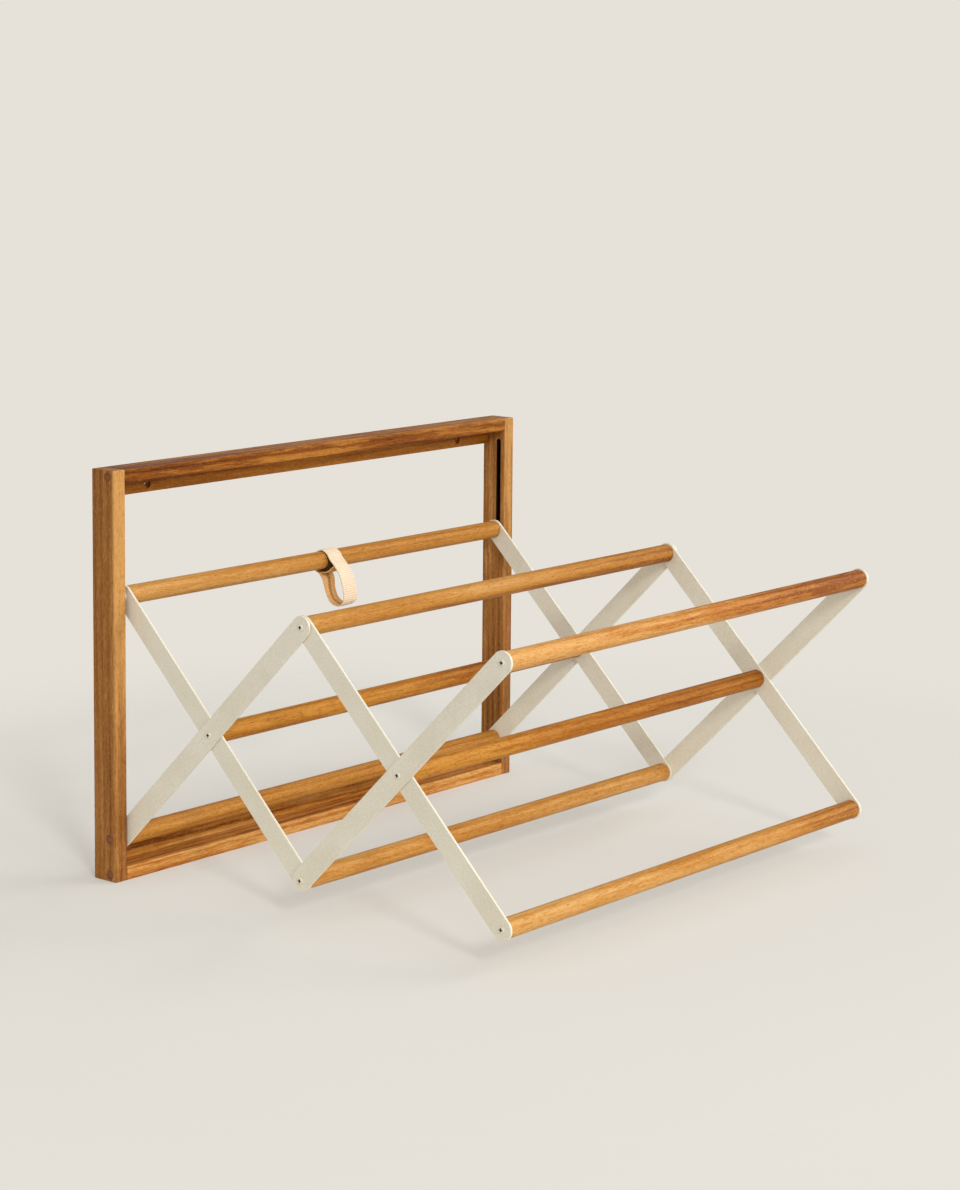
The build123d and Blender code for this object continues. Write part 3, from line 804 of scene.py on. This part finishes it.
def make_stage():
    """A pale floor that fades into the backdrop's even tone beyond the rack, under soft lights."""
    middle = (cad_low + cad_high) / 2
    floor_z = cad_low.z - FLOOR_DROP
    corners = [
        (middle.x + across * FLOOR_HALF_SIZE, middle.y + back * FLOOR_HALF_SIZE, floor_z)
        for across, back in ((-1, -1), (1, -1), (1, 1), (-1, 1))
    ]
    mesh = bpy.data.meshes.new("floor")
    mesh.from_pydata(corners, [], [(0, 1, 2, 3)])
    floor = bpy.data.objects.new("floor", mesh)
    bpy.context.collection.objects.link(floor)
    material, g, shader = start_material("floor_paper")
    output = material.node_tree.nodes["Material Output"]
    vector = g.node("ShaderNodeTexCoord").outputs["Object"]
    away = g.node("ShaderNodeVectorMath", operation="LENGTH")
    g.feed(away.inputs[0], g.vector_math("SUBTRACT", vector, (middle.x, middle.y, floor_z)))
    speck = g.noise(g.stretched(vector, 60.0, 60.0), detail=4.0)
    paper = g.mix(g.math("MULTIPLY", speck, 0.03), FLOOR_TINT, FLOOR_SPECK)
    g.feed(shader.inputs["Base Color"], paper)
    shader.inputs["Roughness"].default_value = 0.9
    shader.inputs["Specular IOR Level"].default_value = 0.1
    veil = g.math("MULTIPLY", g.node("ShaderNodeLightPath").outputs["Is Camera Ray"], FLOOR_VEIL)
    fade = g.node("ShaderNodeMixShader")
    g.feed(fade.inputs[0], g.math("MAXIMUM", g.step(away.outputs["Value"], FADE_START, FADE_END), veil))
    g.feed(fade.inputs[1], shader.outputs[0])
    g.feed(fade.inputs[2], g.node("ShaderNodeBsdfTransparent").outputs[0])
    g.feed(output.inputs["Surface"], fade.outputs[0])
    floor.data.materials.append(material)


def away_from_rack(azimuth, elevation):
    """The direction to a light. Azimuth 0 stands in front and 90 on the right."""
    a, e = math.radians(azimuth), math.radians(elevation)
    return Vector((math.sin(a) * math.cos(e), -math.cos(a) * math.cos(e), math.sin(e)))


def add_light(name, kind, azimuth, elevation, distance, energy, **settings):
    """A light aimed at the rack's middle."""
    data = bpy.data.lights.new(name, kind)
    data.energy, data.color = energy, LIGHT_TINT
    for setting, value in settings.items():
        setattr(data, setting, value)
    light = bpy.data.objects.new(name, data)
    bpy.context.collection.objects.link(light)
    away = away_from_rack(azimuth, elevation)
    light.location = (cad_low + cad_high) / 2 + away * distance
    light.rotation_mode = "QUATERNION"
    light.rotation_quaternion = away.to_track_quat("Z", "Y")


def make_light():
    """Even light from all round, a broad key high in front, a low softbox in front that brightens the
    forward edges, a broad light on the right that throws the frame's shadow to the left, and a weak fill
    on the left."""
    world = bpy.data.worlds.new("studio")
    bpy.context.scene.world = world
    world.use_nodes = True
    g = Graph(world.node_tree)
    world.node_tree.nodes.clear()
    seen, lit = g.node("ShaderNodeBackground"), g.node("ShaderNodeBackground")
    seen.inputs["Color"].default_value = BACKDROP
    lit.inputs["Color"].default_value = (*LIGHT_TINT, 1)
    lit.inputs["Strength"].default_value = WORLD_STRENGTH
    pick = g.node("ShaderNodeMixShader")
    g.feed(pick.inputs[0], g.node("ShaderNodeLightPath").outputs["Is Camera Ray"])
    g.feed(pick.inputs[1], lit.outputs[0])
    g.feed(pick.inputs[2], seen.outputs[0])
    g.feed(g.node("ShaderNodeOutputWorld").inputs["Surface"], pick.outputs[0])
    add_light("key", "SUN", -31, 31, 3.0, 1.1, angle=math.radians(10))
    add_light("side", "SUN", 50, 25, 3.0, 1.6, angle=math.radians(45))
    add_light("fill", "SUN", -80, 25, 3.0, 0.35, angle=math.radians(60))
    add_light("front", "AREA", -10, 9, 2.2, 9.0, size=1.2)


# ---------------------------------------------------------------- making it all
def dress(node, material):
    """Gives a CAD node one material."""
    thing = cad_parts[node]
    thing.data.materials.clear()
    thing.data.materials.append(material)


make_camera()
make_light()
make_stage()

grain_group = make_grain_group()
coat_group = make_coat_group()
for board in WOOD_PLAN:
    dress(board, make_wood(board, grain_group))
pivot_plug_low, pivot_plug_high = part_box("fixed_pivot_plugs")
plug_radius = (pivot_plug_high.z - pivot_plug_low.z) / 2
rail_plug_low, rail_plug_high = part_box("rail_plugs")
rail_heights = [rail_plug_low.z + plug_radius, rail_plug_high.z - plug_radius]
dress("rail_plugs", make_plug_wood("rail_plug_wood", rail_heights, grain_group))
dress(
    "fixed_pivot_plugs",
    make_plug_wood("pivot_plug_wood", [middle_of("fixed_pivot_plugs").z], grain_group),
)
arm_coat = make_arm_coat(coat_group)
steel, nylon = make_steel(), make_nylon()
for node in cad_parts:
    if "_arm_left" in node or "_arm_right" in node:
        dress(node, arm_coat)
    elif node.endswith("_washers") or node == "slider_bushes":
        dress(node, nylon)
    elif node in ("rail_screws", "fixed_pivot_screws", "slider_pins"):
        dress(node, steel)
    elif node.endswith("_screws"):
        dress(node, make_coated_screw(node, coat_group))
make_strap()

bpy.context.scene.view_settings.view_transform = "Standard"
bpy.context.scene.view_settings.look = "None"
